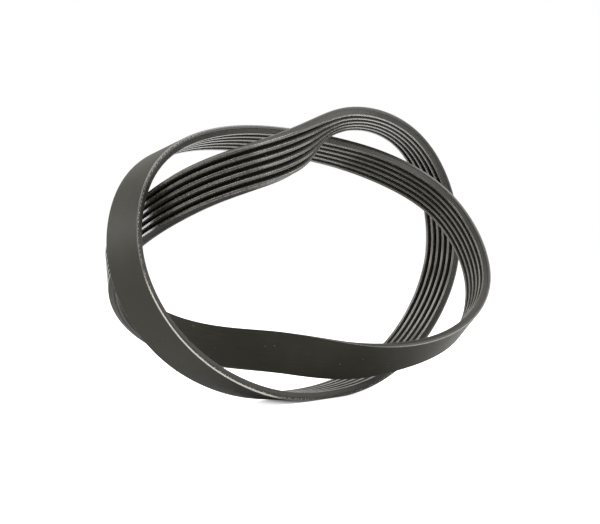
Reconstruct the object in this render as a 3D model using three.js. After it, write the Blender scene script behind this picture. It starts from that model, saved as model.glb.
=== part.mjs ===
import * as THREE from 'three';

// A multi-rib serpentine belt, loosely coiled in two turns and standing on its back.
// One turn stands upright like a wheel, and the other leans through it.
// Millimetres, +Z up, floor at z = 0, +Y away from the side the coil is looked at from.
// The origin is on the floor under the middle of the coil's box.

// Length of the belt, measured along the middle of its smooth back
const BELT_LENGTH = 1241;

// Section of the belt, cut across its length
const RIB_COUNT = 6;
const RIB_PITCH = 3.56;
const BELT_THICKNESS = 4.3;
const RIB_HEIGHT = 2.4;
const FLANK_ANGLE = 20;
const GROOVE_FLOOR = 0.5;

// The soft back is pressed flat on the floor by this much where the coil rests
const FLAT_DEPTH = 0.5;

// Rings swept between one station and the next
const RINGS_PER_SPAN = 6;

// Stations along the middle of the smooth back, in the order the belt is followed.
// The first three numbers are the place. The last three run across the belt, from its
// plain edge to its marked edge. They give the coil's shape, and BELT_LENGTH its size.
const STATIONS = [
  // The strand twists over as it passes in front of the leaning turn
  [-1, -36, 132, 4, -8, 19],
  [-18, -68, 121, -5, -4, 20],
  // Down to the left with the ribs in view
  [-33, -80, 115, -7, 1, 20],
  [-48, -83, 109, -8, 4, 19],
  [-84, -57, 86, -2, 10, 19],
  // Left bend, ribs outward
  [-96, -32, 68, -3, 12, 18],
  [-76, 6, 35, 5, 11, 17],
  [-60, 8, 29, 5, 8, 19],
  // Low front run, back in view
  [-17, 0, 24, 3, 3, 21],
  [24, 7, 18, 5, -9, 19],
  [52, 20, 19, 6, -16, 15],
  // Right bend
  [89, 46, 37, 6, -18, 10],
  [95, 57, 55, 9, -18, 7],
  [76, 65, 99, 11, -16, 9],
  // Over the top of the leaning turn, to the left
  [50, 57, 117, 11, -14, 11],
  [7, 30, 131, 13, -14, 10],
  [-25, 1, 135, 14, -13, 10],
  [-60, -37, 132, 15, -14, 7],
  // Down the left side of the standing turn
  [-83, -74, 110, 15, -14, 5],
  [-86, -88, 76, 16, -14, 4],
  [-72, -81, 41, 17, -13, 4],
  [-45, -54, 14, 17, -13, 3],
  // The stretch that meets the floor
  [-18, -22, 2, 17, -13, 1],
  [3, 4, 0, 17, -13, 0],
  [33, 40, 7, 17, -13, -1],
  // Up the far right side
  [60, 71, 30, 17, -13, -1],
  [77, 87, 72, 17, -13, -2],
  [73, 79, 108, 16, -14, -2],
  // Over the top of the standing turn
  [57, 58, 135, 16, -14, -1],
  [34, 30, 146, 17, -12, 5],
  [13, -2, 143, 13, -10, 13],
];

const BELT_WIDTH = RIB_COUNT * RIB_PITCH;
const BACKING = BELT_THICKNESS - RIB_HEIGHT;
const FLANK_RUN = RIB_HEIGHT * Math.tan(THREE.MathUtils.degToRad(FLANK_ANGLE));

// The section as [across, up from the back] points, anticlockwise seen along the belt
function beltSection() {
  const half = BELT_WIDTH / 2;
  const points = [[-half, 0], [-half, BACKING]];
  for (let rib = 0; rib < RIB_COUNT; rib += 1) {
    const start = -half + rib * RIB_PITCH;
    const end = start + RIB_PITCH;
    const floor = GROOVE_FLOOR / 2;
    points.push([start + floor, BACKING]);
    points.push([start + floor + FLANK_RUN, BELT_THICKNESS]);
    points.push([end - floor - FLANK_RUN, BELT_THICKNESS]);
    points.push([end - floor, BACKING]);
  }
  points.push([half, BACKING], [half, 0]);
  return points;
}

// A closed smooth curve through rows of numbers, one smooth cubic for each column
function closedSpline(rows, knots, period) {
  const count = rows.length;
  const gap = knots.map((knot, i) => (i + 1 < count ? knots[i + 1] : period) - knot);
  const bend = rows.map((row) => row.map(() => 0));
  for (let sweep = 0; sweep < 80; sweep += 1) {
    for (let i = 0; i < count; i += 1) {
      const before = (i + count - 1) % count;
      const after = (i + 1) % count;
      for (let c = 0; c < rows[i].length; c += 1) {
        const rise = (rows[after][c] - rows[i][c]) / gap[i];
        const fall = (rows[i][c] - rows[before][c]) / gap[before];
        const pull = gap[before] * bend[before][c] + gap[i] * bend[after][c];
        bend[i][c] = (6 * (rise - fall) - pull) / (2 * (gap[before] + gap[i]));
      }
    }
  }
  return (span, share) => {
    const after = (span + 1) % count;
    const h = gap[span];
    const a = 1 - share;
    const b = share;
    const value = [];
    const slope = [];
    for (let c = 0; c < rows[span].length; c += 1) {
      const from = rows[span][c];
      const to = rows[after][c];
      const m0 = bend[span][c];
      const m1 = bend[after][c];
      value.push(a * from + b * to + ((a ** 3 - a) * m0 + (b ** 3 - b) * m1) * h * h / 6);
      slope.push((to - from) / h + ((1 - 3 * a * a) * m0 + (3 * b * b - 1) * m1) * h / 6);
    }
    return { value, slope };
  };
}

function coiledBelt() {
  const places = STATIONS.map((row) => new THREE.Vector3(row[0], row[1], row[2]));
  const knots = [];
  let length = 0;
  places.forEach((place, i) => {
    knots.push(length);
    length += place.distanceTo(places[(i + 1) % places.length]);
  });
  const path = closedSpline(STATIONS, knots, length);
  const frames = [];
  for (let span = 0; span < STATIONS.length; span += 1) {
    for (let step = 0; step < RINGS_PER_SPAN; step += 1) {
      const { value, slope } = path(span, step / RINGS_PER_SPAN);
      const middle = new THREE.Vector3(value[0], value[1], value[2]);
      const along = new THREE.Vector3(slope[0], slope[1], slope[2]).normalize();
      const across = new THREE.Vector3(value[3], value[4], value[5]);
      across.addScaledVector(along, -across.dot(along)).normalize();
      const inward = new THREE.Vector3().crossVectors(across, along);
      frames.push({ middle, across, inward });
    }
  }
  const rings = frames.length;
  let drawn = 0;
  frames.forEach(({ middle }, ring) => {
    drawn += middle.distanceTo(frames[(ring + 1) % rings].middle);
  });
  const section = beltSection();
  const positions = [];
  for (const { middle, across, inward } of frames) {
    for (const [side, height] of section) {
      const point = middle.clone().multiplyScalar(BELT_LENGTH / drawn);
      point.addScaledVector(across, side).addScaledVector(inward, height);
      positions.push(point.x, point.y, Math.max(point.z - FLAT_DEPTH, 0));
    }
  }
  const size = section.length;
  const index = [];
  for (let ring = 0; ring < rings; ring += 1) {
    const next = (ring + 1) % rings;
    for (let i = 0; i < size; i += 1) {
      const j = (i + 1) % size;
      const a = ring * size + i;
      const b = ring * size + j;
      const c = next * size + j;
      const d = next * size + i;
      index.push(a, b, c, a, c, d);
    }
  }
  const geometry = new THREE.BufferGeometry();
  geometry.setAttribute('position', new THREE.Float32BufferAttribute(positions, 3));
  geometry.setIndex(index);
  geometry.computeBoundingBox();
  const centre = geometry.boundingBox.getCenter(new THREE.Vector3());
  geometry.translate(-centre.x, -centre.y, 0);
  geometry.computeVertexNormals();
  return geometry;
}

const rubber = new THREE.MeshStandardMaterial({ color: 0x3b3934, roughness: 0.62, metalness: 0.0 });
rubber.name = 'rubber';

const belt = new THREE.Mesh(coiledBelt(), rubber);
belt.name = 'ribbed_belt';

const group = new THREE.Group();
group.name = 'serpentine_belt';
group.add(belt);

export default group;
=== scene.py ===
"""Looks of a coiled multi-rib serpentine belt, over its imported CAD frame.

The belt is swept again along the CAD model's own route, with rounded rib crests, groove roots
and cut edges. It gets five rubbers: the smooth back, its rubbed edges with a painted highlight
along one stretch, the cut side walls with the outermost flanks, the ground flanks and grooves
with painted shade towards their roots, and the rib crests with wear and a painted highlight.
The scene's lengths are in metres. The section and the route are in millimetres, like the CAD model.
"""
import math

import bpy
import numpy as np
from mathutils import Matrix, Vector


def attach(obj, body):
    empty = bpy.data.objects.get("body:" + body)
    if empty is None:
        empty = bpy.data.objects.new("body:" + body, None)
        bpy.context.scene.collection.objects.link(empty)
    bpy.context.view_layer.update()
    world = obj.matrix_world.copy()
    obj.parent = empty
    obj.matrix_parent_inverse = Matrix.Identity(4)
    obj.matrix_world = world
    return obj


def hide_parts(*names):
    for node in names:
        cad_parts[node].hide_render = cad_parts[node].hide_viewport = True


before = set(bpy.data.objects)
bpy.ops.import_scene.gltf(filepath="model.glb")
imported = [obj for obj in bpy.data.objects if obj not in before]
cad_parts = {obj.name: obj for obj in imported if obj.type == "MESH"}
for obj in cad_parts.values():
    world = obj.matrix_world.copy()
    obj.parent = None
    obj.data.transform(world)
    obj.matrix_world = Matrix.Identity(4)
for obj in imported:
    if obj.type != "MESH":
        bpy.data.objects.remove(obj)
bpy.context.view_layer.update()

MM = 0.001

# The section's sizes, in millimetres, as in the CAD model
RIB_COUNT = 6
RIB_PITCH = 3.56
BELT_THICKNESS = 4.3
RIB_HEIGHT = 2.4
FLANK_ANGLE = 20
GROOVE_FLOOR = 0.5
FLAT_DEPTH = 0.5
BELT_WIDTH = RIB_COUNT * RIB_PITCH
BACKING = BELT_THICKNESS - RIB_HEIGHT
FLANK_RUN = RIB_HEIGHT * math.tan(math.radians(FLANK_ANGLE))

# Arcs for the corners that the CAD model leaves sharp: radius in millimetres, points along the arc
BACK_ARC = (0.25, 4)
CREST_ARC = (0.35, 3)
ROOT_ARC = (0.22, 3)
LEDGE_ARC = (0.08, 2)
NO_ARC = (0, 1)
# The rubbed edge of the back reaches this far up the side wall
EDGE_HEIGHT = 0.7

RINGS_PER_SPAN = 36
# The materials' lengthwise pattern starts and ends at this station, behind the left side
SEAM_STATION = 7

# The map for baked images folds the belt's length into this many rows, with a margin round each
BAKE_ROWS = 5
BAKE_FILL = 0.985
BAKE_MARGIN_ALONG = 0.004
BAKE_MARGIN_AROUND = 0.006

# Stretches of the belt, as metres from the seam: where cut cord shows in the sides, where the
# back's edge carries a painted highlight, where the rib crests have torn, fringed sides, and where
# they are darker and rougher. Each fades out over STRETCH_FADE at its ends.
CORD_SHOWS = ((0.43, 0.52), (0.57, 0.65), (0.70, 0.745))
EDGE_PAINTED_HIGHLIGHT = ((0.53, 0.62),)
CRESTS_TORN = ((0.98, 1.16),)
CRESTS_DULL = ((0.25, 0.30),)
STRETCH_FADE = 0.015

WHITE = (1, 1, 1, 1)
PAPER = (0.70, 0.70, 0.70, 1)
WORLD_LIGHT = 0.2
FLOOR_SIZE = 6
FLOOR_DROP = 0.0001
# Away from the resting spot the paper glows towards white: from and to which distance, and how
# strongly at each, as the camera sees it and as reflections see it
SEEN_GLOW = (0.012, 0.038, 0.05, 0.97)
MIRRORED_GLOW = (0.04, 0.16, 0.05, 0.9)

# Softboxes: name, place, width and height, watts. All are turned to LAMP_TARGET.
SOFTBOXES = (
    ("softbox_left", (-0.9, -0.10, 0.30), (0.36, 0.30), 1.3),
    ("softbox_behind", (-0.86, 0.18, 0.24), (0.42, 0.30), 2.5),
    ("softbox_right", (0.46, -0.03, 0.42), (0.45, 0.45), 3.2),
    ("softbox_top", (-0.12, -0.22, 0.92), (1.7, 0.9), 17),
)
LAMP_TARGET = (0, 0, 0.07)

# The camera's place, its pitch in degrees below the horizon, and its lens and sensor in millimetres
CAMERA_PLACE = (-0.00365, -0.8007, 0.0964)
CAMERA_PITCH = 1.89
CAMERA_LENS = 93.46
CAMERA_SENSOR = 36

# Stations along the middle of the smooth back: place, then the way across the belt
STATIONS = np.array([
    [-1, -36, 132, 4, -8, 19],
    [-18, -68, 121, -5, -4, 20],
    [-33, -80, 115, -7, 1, 20],
    [-48, -83, 109, -8, 4, 19],
    [-84, -57, 86, -2, 10, 19],
    [-96, -32, 68, -3, 12, 18],
    [-76, 6, 35, 5, 11, 17],
    [-60, 8, 29, 5, 8, 19],
    [-17, 0, 24, 3, 3, 21],
    [24, 7, 18, 5, -9, 19],
    [52, 20, 19, 6, -16, 15],
    [89, 46, 37, 6, -18, 10],
    [95, 57, 55, 9, -18, 7],
    [76, 65, 99, 11, -16, 9],
    [50, 57, 117, 11, -14, 11],
    [7, 30, 131, 13, -14, 10],
    [-25, 1, 135, 14, -13, 10],
    [-60, -37, 132, 15, -14, 7],
    [-83, -74, 110, 15, -14, 5],
    [-86, -88, 76, 16, -14, 4],
    [-72, -81, 41, 17, -13, 4],
    [-45, -54, 14, 17, -13, 3],
    [-18, -22, 2, 17, -13, 1],
    [3, 4, 0, 17, -13, 0],
    [33, 40, 7, 17, -13, -1],
    [60, 71, 30, 17, -13, -1],
    [77, 87, 72, 17, -13, -2],
    [73, 79, 108, 16, -14, -2],
    [57, 58, 135, 16, -14, -1],
    [34, 30, 146, 17, -12, 5],
    [13, -2, 143, 13, -10, 13],
], dtype=float)


def section_corners():
    """The section's corners as (across, height, arc, what the stretch up to it is)."""
    half = BELT_WIDTH / 2
    floor = GROOVE_FLOOR / 2
    corners = [(-half, 0, BACK_ARC, "back"), (-half, EDGE_HEIGHT, NO_ARC, "edge"),
               (-half, BACKING, LEDGE_ARC, "wall")]
    for rib in range(RIB_COUNT):
        start = -half + rib * RIB_PITCH
        end = start + RIB_PITCH
        first = "wall" if rib == 0 else "rib"
        last = "wall" if rib == RIB_COUNT - 1 else "rib"
        corners.append((start + floor, BACKING, ROOT_ARC, first))
        corners.append((start + floor + FLANK_RUN, BELT_THICKNESS, CREST_ARC, first))
        corners.append((end - floor - FLANK_RUN, BELT_THICKNESS, CREST_ARC, "crest"))
        corners.append((end - floor, BACKING, ROOT_ARC, last))
    corners.append((half, BACKING, LEDGE_ARC, "wall"))
    corners.append((half, EDGE_HEIGHT, NO_ARC, "wall"))
    corners.append((half, 0, BACK_ARC, "edge"))
    return corners


def rounded_section():
    """Points, outward normals and the zone of each stretch, with the sharp corners as arcs."""
    corners = section_corners()
    count = len(corners)
    points, normals, zones = [], [], []
    for i, (x, y, arc, zone) in enumerate(corners):
        corner = np.array([x, y])
        if arc == NO_ARC:
            points.append(corner)
            normals.append(np.array([math.copysign(1, x), 0]))
            zones.append(zone)
            continue
        radius, arc_points = arc
        before = np.array(corners[i - 1][:2]) - corner
        after = np.array(corners[(i + 1) % count][:2]) - corner
        before /= np.linalg.norm(before)
        after /= np.linalg.norm(after)
        half_angle = math.acos(float(before @ after)) / 2
        reach = radius / math.tan(half_angle)
        inward = (before + after) / np.linalg.norm(before + after)
        centre = corner + inward * radius / math.sin(half_angle)
        # The section runs clockwise seen along the belt, so a right turn is an outer corner
        outward = 1 if before[0] * after[1] - before[1] * after[0] > 0 else -1
        first = corner + before * reach - centre
        last = corner + after * reach - centre
        arc_zone = "edge" if y == 0 else "crest" if y == BELT_THICKNESS else zone
        for step in range(arc_points):
            share = step / (arc_points - 1)
            arm = first * (1 - share) + last * share
            arm /= np.linalg.norm(arm)
            points.append(centre + arm * radius)
            normals.append(arm * outward)
            zones.append(zone if step == 0 else arc_zone)
    return np.array(points), np.array(normals), zones


def closed_spline(rows, knots, period):
    """The gaps between the rows' knots, and the closed smooth cubic's second derivatives there."""
    count = len(rows)
    gap = np.diff(np.append(knots, period))
    system = np.zeros((count, count))
    pull = np.zeros_like(rows)
    for i in range(count):
        before = (i - 1) % count
        after = (i + 1) % count
        rise = (rows[after] - rows[i]) / gap[i]
        fall = (rows[i] - rows[before]) / gap[before]
        system[i, before] += gap[before]
        system[i, i] += 2 * (gap[before] + gap[i])
        system[i, after] += gap[i]
        pull[i] = 6 * (rise - fall)
    return gap, np.linalg.solve(system, pull)


def route():
    """Each ring's place and its directions across the belt and inward, towards the ribs."""
    places = STATIONS[:, :3]
    steps = np.linalg.norm(np.roll(places, -1, axis=0) - places, axis=1)
    knots = np.concatenate([[0], np.cumsum(steps)[:-1]])
    gap, bend = closed_spline(STATIONS, knots, steps.sum())
    values, slopes = [], []
    for span in range(len(STATIONS)):
        after = (span + 1) % len(STATIONS)
        length = gap[span]
        for step in range(RINGS_PER_SPAN):
            done = step / RINGS_PER_SPAN
            left = 1 - done
            pull = (left ** 3 - left) * bend[span] + (done ** 3 - done) * bend[after]
            turn = (1 - 3 * left * left) * bend[span] + (3 * done * done - 1) * bend[after]
            values.append(left * STATIONS[span] + done * STATIONS[after] + pull * length * length / 6)
            slopes.append((STATIONS[after] - STATIONS[span]) / length + turn * length / 6)
    values, slopes = np.array(values), np.array(slopes)
    along = slopes[:, :3] / np.linalg.norm(slopes[:, :3], axis=1)[:, None]
    across = values[:, 3:]
    across = across - (across * along).sum(1)[:, None] * along
    across /= np.linalg.norm(across, axis=1)[:, None]
    return values[:, :3], across, np.cross(across, along)


def swept_points(section, section_normals, middle, across, inward):
    """Each ring's points and outward normals. The back is pressed flat where it meets the floor."""
    points = (middle[:, None] + across[:, None] * section[None, :, :1]
              + inward[:, None] * section[None, :, 1:])
    normals = (across[:, None] * section_normals[None, :, :1]
               + inward[:, None] * section_normals[None, :, 1:])
    points[..., 2] -= FLAT_DEPTH
    pressed = points[..., 2] < 0
    points[..., 2] = np.maximum(points[..., 2], 0)
    normals[pressed] = (0, 0, -1)
    low, high = points.min((0, 1)), points.max((0, 1))
    points[..., :2] -= ((low + high) / 2)[:2]
    return points.reshape(-1, 3) * MM, normals.reshape(-1, 3)


def swept_faces(rings, ring_size):
    """Four-cornered faces from each ring's points to the next ring's."""
    ring = np.arange(rings)[:, None]
    point = np.arange(ring_size)[None]
    next_ring = (ring + 1) % rings
    next_point = (point + 1) % ring_size
    corners = [ring * ring_size + point, ring * ring_size + next_point,
               next_ring * ring_size + next_point, next_ring * ring_size + point]
    return np.stack(corners, axis=-1).reshape(-1, 4)


def surface_maps(section, middle):
    """The three maps, as name and one row of corners for each face.

    OFBake is for baked images. strip holds the distances along the belt and round its section,
    and section the distances across the belt and up from its back, all in metres.
    """
    rings, ring_size = len(middle), len(section)
    ring_step = np.linalg.norm(np.roll(middle, -1, axis=0) - middle, axis=1)
    length = ring_step.sum()
    start = np.concatenate([[0], np.cumsum(ring_step)[:-1]])
    start = (start - start[SEAM_STATION * RINGS_PER_SPAN]) % length
    section_step = np.linalg.norm(np.roll(section, -1, axis=0) - section, axis=1)
    perimeter = section_step.sum()
    around = np.concatenate([[0], np.cumsum(section_step)[:-1]])

    near = np.repeat(start, ring_size)
    far = np.repeat(start + ring_step, ring_size)
    first = np.tile(around, rings)
    second = np.tile(around + section_step, rings)
    strip = np.stack([np.stack([near, first], -1), np.stack([near, second], -1),
                      np.stack([far, second], -1), np.stack([far, first], -1)], axis=1)

    ends = np.stack([section, np.roll(section, -1, axis=0)], axis=1)
    profile = np.tile(ends[:, [0, 1, 1, 0]], (rings, 1, 1))

    row = np.minimum((start / length * BAKE_ROWS).astype(int), BAKE_ROWS - 1)
    row = np.repeat(row, ring_size)[:, None]
    bake_along = (strip[..., 0] / length * BAKE_ROWS - row) * BAKE_FILL + BAKE_MARGIN_ALONG
    bake_around = (row + strip[..., 1] / perimeter * BAKE_FILL + BAKE_MARGIN_AROUND) / BAKE_ROWS
    square = np.stack([bake_along, bake_around], axis=-1)
    return ("OFBake", square), ("strip", strip * MM), ("section", profile * MM)


def belt_object():
    """The belt as one object, with its three maps and five rubbers."""
    section, section_normals, zones = rounded_section()
    middle, across, inward = route()
    rings, ring_size = len(middle), len(section)
    points, normals = swept_points(section, section_normals, middle, across, inward)
    faces = swept_faces(rings, ring_size)
    mesh = bpy.data.meshes.new("belt")
    mesh.from_pydata(points.tolist(), [], faces.tolist())
    for name, values in surface_maps(section, middle):
        layer = mesh.uv_layers.new(name=name)
        layer.data.foreach_set("uv", values.astype(np.float32).ravel())

    materials = {"back": back_rubber(), "edge": edge_rubber(), "wall": wall_rubber(),
                 "rib": rib_rubber(), "crest": crest_rubber()}
    order = list(materials)
    for name in order:
        mesh.materials.append(materials[name])
    # A stretch carries the zone of the point at its end
    stretch = [order.index(zones[(i + 1) % ring_size]) for i in range(ring_size)]
    mesh.polygons.foreach_set("material_index", np.tile(stretch, rings).astype(np.int32))
    mesh.polygons.foreach_set("use_smooth", np.ones(len(faces), dtype=bool))
    mesh.update()
    mesh.normals_split_custom_set_from_vertices(normals.tolist())
    belt = bpy.data.objects.new("belt", mesh)
    bpy.context.scene.collection.objects.link(belt)
    return belt


class Nodes:
    """A node tree, built one small step at a time."""

    # The colour sockets of a mix node, which has others with the same names
    MIX_FIRST, MIX_SECOND, MIX_RESULT = 6, 7, 2

    def __init__(self, tree):
        self.tree = tree

    def put(self, value, socket):
        """Links another node's output to the socket, or sets a plain value on it."""
        if isinstance(value, bpy.types.NodeSocket):
            self.tree.links.new(value, socket)
        else:
            socket.default_value = value

    def node(self, kind, inputs=(), **settings):
        node = self.tree.nodes.new(kind)
        for key, value in settings.items():
            setattr(node, key, value)
        for key, value in dict(inputs).items():
            self.put(value, node.inputs[key])
        return node

    def math(self, operation, *values):
        return self.node("ShaderNodeMath", enumerate(values), operation=operation).outputs[0]

    def between(self, value, start, end, low=0.0, high=1.0):
        """low at the start, high at the end, smooth in between and level beyond."""
        node = self.node("ShaderNodeMapRange",
                         {"Value": value, "From Min": start, "From Max": end,
                          "To Min": low, "To Max": high},
                         interpolation_type="SMOOTHSTEP")
        return node.outputs["Result"]

    def mix(self, share, first, second):
        node = self.node("ShaderNodeMix", {"Factor": share}, data_type="RGBA")
        for value, socket in ((first, self.MIX_FIRST), (second, self.MIX_SECOND)):
            self.put((*value, 1) if isinstance(value, tuple) else value, node.inputs[socket])
        return node.outputs[self.MIX_RESULT]

    def place(self):
        return self.node("ShaderNodeTexCoord").outputs["Object"]

    def noise(self, vector, scale=1.0, detail=2.0, roughness=0.5):
        node = self.node("ShaderNodeTexNoise", {"Vector": vector, "Scale": scale,
                                                "Detail": detail, "Roughness": roughness})
        return node.outputs["Fac"]

    def rays(self):
        """1 for a ray from the camera, and 1 for one that a reflection or a clear body sends."""
        path = self.node("ShaderNodeLightPath").outputs
        mirrored = self.math("MAXIMUM", path["Is Glossy Ray"], path["Is Transmission Ray"])
        return path["Is Camera Ray"], mirrored


class Rubber(Nodes):
    """One of the belt's materials. Its patterns run along the belt and round its section."""

    def __init__(self, name):
        self.material = bpy.data.materials.new(name)
        self.material.use_nodes = True
        super().__init__(self.material.node_tree)
        self.shader = self.tree.nodes["Principled BSDF"]
        self.strip = self.map("strip")

    def map(self, name):
        return self.node("ShaderNodeUVMap", uv_map=name).outputs["UV"]

    def axis(self, vector, which):
        return self.node("ShaderNodeSeparateXYZ", {"Vector": vector}).outputs[which]

    def across(self):
        """Distance across the belt from its middle, in metres."""
        return self.axis(self.map("section"), "X")

    def height(self):
        """Height above the smooth back, in metres."""
        return self.axis(self.map("section"), "Y")

    def stretched(self, along, around):
        """The place along the belt and round its section, each multiplied by its own number."""
        node = self.node("ShaderNodeVectorMath", {0: self.strip, 1: (along, around, 1.0)},
                         operation="MULTIPLY")
        return node.outputs["Vector"]

    def pattern(self, along, around, detail=2.0, roughness=0.5):
        """Noise with about this many features a metre along the belt and round its section."""
        return self.noise(self.stretched(along, around), 1.0, detail, roughness)

    def specks(self, along, around, size, share):
        """1 inside small specks in a share of the cells, this many a metre each way, else 0."""
        cells = self.node("ShaderNodeTexVoronoi", {"Vector": self.stretched(along, around),
                                                   "Scale": 1.0, "Randomness": 1.0})
        near = self.math("LESS_THAN", cells.outputs["Distance"], size)
        chance = self.node("ShaderNodeSeparateColor", {"Color": cells.outputs["Color"]})
        chosen = self.math("LESS_THAN", chance.outputs["Red"], share)
        return self.math("MULTIPLY", near, chosen)

    def stretches(self, spans):
        """1 along the given stretches of the belt's length, else 0."""
        along = self.axis(self.strip, "X")
        total = 0.0
        for start, end in spans:
            rise = self.between(along, start - STRETCH_FADE, start)
            fall = self.between(along, end, end + STRETCH_FADE)
            total = self.math("ADD", total, self.math("SUBTRACT", rise, fall))
        return total

    def tinted(self, colour, where, strength, tint):
        """The colour, turned towards the tint by this strength where the mask is 1."""
        return self.mix(self.math("MULTIPLY", where, strength), colour, tint)

    def raised(self, base, mask, amount):
        """The base value, raised by this amount where the mask is 1."""
        return self.math("ADD", base, self.math("MULTIPLY", mask, amount))

    def bump(self, height, distance, under=None):
        node = self.node("ShaderNodeBump",
                         {"Height": height, "Distance": distance, "Strength": 1.0})
        if under is not None:
            self.put(under, node.inputs["Normal"])
        return node.outputs["Normal"]

    def finish(self, colour, roughness, normal, specular):
        self.put(colour, self.shader.inputs["Base Color"])
        self.put(roughness, self.shader.inputs["Roughness"])
        self.put(normal, self.shader.inputs["Normal"])
        self.shader.inputs["Specular IOR Level"].default_value = specular
        return self.material


def back_rubber():
    """The moulded back: satin, faintly mottled, with a fine grain and a few dust specks."""
    rubber = Rubber("belt_back")
    dark, light = (0.019, 0.0183, 0.0126), (0.029, 0.0273, 0.0198)
    streak_tint, grain_tint = (0.046, 0.044, 0.034), (0.050, 0.047, 0.038)
    dust_tint = (0.24, 0.23, 0.19)
    mottle = rubber.noise(rubber.place(), scale=22, detail=3)
    streaks = rubber.pattern(60, 900, detail=3)
    grain = rubber.pattern(5200, 5200, detail=2, roughness=0.6)
    dust = rubber.specks(420, 420, size=0.16, share=0.03)

    colour = rubber.mix(rubber.between(mottle, 0.35, 0.65), dark, light)
    colour = rubber.tinted(colour, rubber.between(streaks, 0.5, 0.75), 0.22, streak_tint)
    colour = rubber.tinted(colour, rubber.between(grain, 0.45, 0.7), 0.3, grain_tint)
    colour = rubber.tinted(colour, dust, 0.25, dust_tint)
    roughness = rubber.raised(0.42, mottle, 0.16)
    normal = rubber.bump(grain, 0.00003)
    return rubber.finish(colour, roughness, normal, specular=0.12)


def wall_rubber():
    """The cut side: dull grey, scored lengthwise, with the whitish ends of the cut cord."""
    rubber = Rubber("belt_wall")
    dark, light = (0.008, 0.0075, 0.0058), (0.027, 0.0254, 0.0201)
    grain_tint, cord_tint = (0.060, 0.0567, 0.0455), (0.45, 0.43, 0.36)
    cord_height, cord_half_width = 0.00105, 0.00013
    scoring = rubber.pattern(250, 9000, detail=3)
    grain = rubber.pattern(3200, 3200, detail=2, roughness=0.6)
    rough_grain = rubber.between(rubber.pattern(1500, 3400, detail=2, roughness=0.65), 0.5, 0.66)

    colour = rubber.mix(rubber.between(scoring, 0.35, 0.7), dark, light)
    colour = rubber.tinted(colour, rough_grain, 0.45, grain_tint)
    off_cord = rubber.math("ABSOLUTE", rubber.math("SUBTRACT", rubber.height(), cord_height))
    cord_line = rubber.math("LESS_THAN", off_cord, cord_half_width)
    broken = rubber.math("GREATER_THAN", rubber.pattern(900, 0, detail=1), 0.54)
    cord_dashes = rubber.math("MULTIPLY", cord_line, broken)
    cord_ends = rubber.math("MULTIPLY", cord_dashes, rubber.stretches(CORD_SHOWS))
    colour = rubber.tinted(colour, cord_ends, 0.85, cord_tint)
    roughness = rubber.raised(0.32, scoring, 0.2)
    normal = rubber.bump(grain, 0.00003, rubber.bump(scoring, 0.00002))
    return rubber.finish(colour, roughness, normal, specular=0.22)


def edge_rubber():
    """The back's rubbed edge: a narrow polished line beside the cut side, with a painted highlight
    along one stretch of one side.
    """
    rubber = Rubber("belt_edge")
    dark, light = (0.030, 0.028, 0.022), (0.075, 0.070, 0.058)
    edge_highlight_dark, edge_highlight_light = (0.30, 0.29, 0.25), (0.55, 0.54, 0.48)
    nicks = rubber.pattern(1100, 4000, detail=2)

    colour = rubber.mix(rubber.between(nicks, 0.35, 0.7), dark, light)
    # Painted highlight: a much lighter line along one stretch of one side of the edge
    painted_highlight_colour = rubber.mix(rubber.between(nicks, 0.35, 0.6), edge_highlight_dark, edge_highlight_light)
    one_side = rubber.math("GREATER_THAN", rubber.across(), 0.0)
    painted_highlight_mask = rubber.math("MULTIPLY", rubber.stretches(EDGE_PAINTED_HIGHLIGHT), one_side)
    colour = rubber.mix(painted_highlight_mask, colour, painted_highlight_colour)
    roughness = rubber.raised(0.18, nicks, 0.16)
    normal = rubber.bump(nicks, 0.00001)
    return rubber.finish(colour, roughness, normal, specular=0.5)


def rib_rubber():
    """The ground flanks and grooves: painted shade darkening them to black at the root, scored, with
    short pale fibres.
    """
    rubber = Rubber("belt_ribs")
    root, flank = (0.006, 0.0058, 0.0047), (0.044, 0.0416, 0.0330)
    score_tint, fuzz_tint = (0.110, 0.104, 0.088), (0.004, 0.004, 0.003)
    fibre_tint = (0.45, 0.43, 0.35)
    painted_shade_up_to, lightest_from = 0.0024, 0.0040
    scoring = rubber.pattern(90, 5000, detail=3)
    fuzz = rubber.pattern(750, 1700, detail=3, roughness=0.65)
    fibres = rubber.specks(560, 1100, size=0.20, share=0.05)

    # Painted shade: darker down the flank to near black at the groove root
    rise = rubber.between(rubber.height(), painted_shade_up_to, lightest_from)
    colour = rubber.mix(rise, root, flank)
    score_strength = rubber.math("MULTIPLY", rise, 0.5)
    colour = rubber.tinted(colour, rubber.between(scoring, 0.45, 0.7), score_strength, score_tint)
    colour = rubber.tinted(colour, rubber.between(fuzz, 0.50, 0.60), 0.8, fuzz_tint)
    colour = rubber.tinted(colour, fibres, 0.75, fibre_tint)
    roughness = rubber.math("SUBTRACT", 0.75, rubber.math("MULTIPLY", rise, 0.2))
    normal = rubber.bump(fuzz, 0.00006, rubber.bump(scoring, 0.00002))
    return rubber.finish(colour, roughness, normal, specular=0.1)


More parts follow.
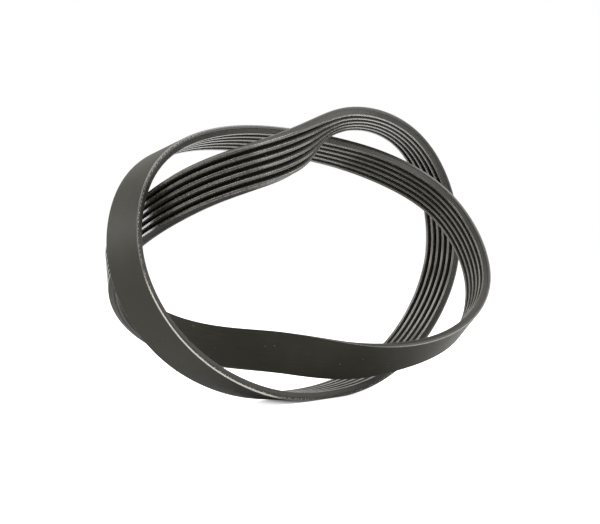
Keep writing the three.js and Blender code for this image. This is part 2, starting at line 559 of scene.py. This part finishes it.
def crest_rubber():
    """The rib crests, smoothed by pulleys: greyer and glossier than the flanks, with a painted
    highlight on their rounded sides.
    """
    rubber = Rubber("belt_crests")
    dark, light = (0.022, 0.0209, 0.0165), (0.125, 0.1190, 0.0960)
    crest_highlight_dark, crest_highlight_light = (0.200, 0.191, 0.160), (0.520, 0.497, 0.420)
    torn_tint, pit_tint = (0.004, 0.004, 0.003), (0.006, 0.006, 0.005)
    fleck_tint, dull_tint = (0.55, 0.53, 0.44), (0.010, 0.0095, 0.0076)
    scoring = rubber.pattern(35, 1500, detail=3)
    pits = rubber.pattern(700, 2200, detail=3, roughness=0.65)
    patches = rubber.pattern(35, 280, detail=2)
    tearing = rubber.stretches(CRESTS_TORN)
    dull = rubber.stretches(CRESTS_DULL)

    # Millimetres from the middle of the groove beside the crest, up to half a pitch at its middle
    middle = RIB_PITCH / 2
    off_groove = rubber.math("PINGPONG", rubber.math("MULTIPLY", rubber.across(), 1 / MM), middle)
    flat_starts, arc_shines = middle - 0.45, middle - 0.58
    torn_away, torn_blend, torn_more = 1.12, 0.05, 0.45

    # The crest's rounded sides carry wear and a painted highlight, lighter in patches, and less so
    # where it is torn
    patchy = rubber.raised(0.4, rubber.between(patches, 0.40, 0.60), 0.6)
    rim_wear_and_highlight = rubber.math("MULTIPLY", rubber.between(off_groove, flat_starts, arc_shines), patchy)
    less_rim_highlight = rubber.math("MULTIPLY", tearing, 0.6)
    rim_wear_and_highlight = rubber.math("MULTIPLY", rim_wear_and_highlight, rubber.math("SUBTRACT", 1.0, less_rim_highlight))
    painted_highlight_colour = rubber.mix(rubber.between(scoring, 0.3, 0.65), crest_highlight_dark, crest_highlight_light)
    colour = rubber.mix(rubber.between(scoring, 0.35, 0.65), dark, light)
    colour = rubber.mix(rim_wear_and_highlight, colour, painted_highlight_colour)

    # Torn sides are black, with a ragged border that reaches further up on the torn stretch
    ragged = rubber.between(rubber.pattern(1000, 80, detail=3, roughness=0.7), 0.48, 0.68)
    reach = rubber.raised(torn_away, ragged, rubber.math("MULTIPLY", tearing, torn_more))
    torn = rubber.between(off_groove, rubber.math("ADD", reach, torn_blend), reach)
    colour = rubber.mix(torn, colour, torn_tint)

    colour = rubber.tinted(colour, rubber.between(pits, 0.55, 0.63), 0.4, pit_tint)
    flecks = rubber.math("MULTIPLY", rubber.specks(480, 900, size=0.17, share=0.035), tearing)
    colour = rubber.tinted(colour, flecks, 0.8, fleck_tint)
    # Darker and rougher crests along one stretch of the belt
    colour = rubber.tinted(colour, dull, 0.45, dull_tint)
    roughness = rubber.raised(rubber.raised(0.15, pits, 0.2), dull, 0.3)
    normal = rubber.bump(pits, 0.00003, rubber.bump(scoring, 0.00002))
    return rubber.finish(colour, roughness, normal, specular=0.55)


def add_floor():
    """White paper: plain and shaded close to where the belt rests, and full white further out."""
    bpy.ops.mesh.primitive_plane_add(size=FLOOR_SIZE, location=(0, 0, -FLOOR_DROP))
    floor = bpy.context.object
    floor.name = "floor"
    material = bpy.data.materials.new("floor_white")
    material.use_nodes = True
    material.node_tree.nodes.clear()
    nodes = Nodes(material.node_tree)
    paper = nodes.node("ShaderNodeBsdfDiffuse", {"Color": PAPER})
    from_middle = nodes.node("ShaderNodeVectorMath", {0: nodes.place()}, operation="LENGTH")
    distance = from_middle.outputs["Value"]
    camera_sees, reflection_sees = nodes.rays()
    straight = nodes.math("MULTIPLY", camera_sees, nodes.between(distance, *SEEN_GLOW))
    mirrored = nodes.math("MULTIPLY", reflection_sees, nodes.between(distance, *MIRRORED_GLOW))
    strength = nodes.math("ADD", straight, mirrored)
    glow = nodes.node("ShaderNodeEmission", {"Color": WHITE, "Strength": strength})
    both = nodes.node("ShaderNodeAddShader", {0: paper.outputs[0], 1: glow.outputs[0]})
    nodes.node("ShaderNodeOutputMaterial", {"Surface": both.outputs[0]})
    floor.data.materials.append(material)


def add_world():
    """Full white to the camera and in reflections, and a dim white light on everything else."""
    world = bpy.data.worlds.new("studio")
    world.use_nodes = True
    nodes = Nodes(world.node_tree)
    room = world.node_tree.nodes["Background"]
    nodes.put(WHITE, room.inputs["Color"])
    nodes.put(WORLD_LIGHT, room.inputs["Strength"])
    white = nodes.node("ShaderNodeBackground", {"Color": WHITE, "Strength": 1.0})
    seen = nodes.math("MAXIMUM", *nodes.rays())
    choose = nodes.node("ShaderNodeMixShader", {0: seen, 1: room.outputs[0], 2: white.outputs[0]})
    nodes.put(choose.outputs[0], world.node_tree.nodes["World Output"].inputs["Surface"])
    bpy.context.scene.world = world


def add_softbox(name, place, size, watts):
    light = bpy.data.lights.new(name, "AREA")
    light.shape = "RECTANGLE"
    light.size, light.size_y = size
    light.energy = watts
    lamp = bpy.data.objects.new(name, light)
    lamp.location = place
    aim = Vector(np.subtract(LAMP_TARGET, place))
    lamp.rotation_euler = aim.to_track_quat("-Z", "Y").to_euler()
    bpy.context.scene.collection.objects.link(lamp)


def add_camera():
    camera = bpy.data.cameras.new("camera")
    camera.sensor_width = CAMERA_SENSOR
    camera.lens = CAMERA_LENS
    camera.clip_start = 0.05
    camera.clip_end = 50
    eye = bpy.data.objects.new("camera", camera)
    eye.location = CAMERA_PLACE
    eye.rotation_euler = (math.radians(90 - CAMERA_PITCH), 0, 0)
    bpy.context.scene.collection.objects.link(eye)
    bpy.context.scene.camera = eye


belt = belt_object()
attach(belt, "root")
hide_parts("ribbed_belt")

add_floor()
add_world()
for softbox in SOFTBOXES:
    add_softbox(*softbox)
add_camera()
bpy.context.scene.view_settings.view_transform = "Standard"

bpy.context.view_layer.update()
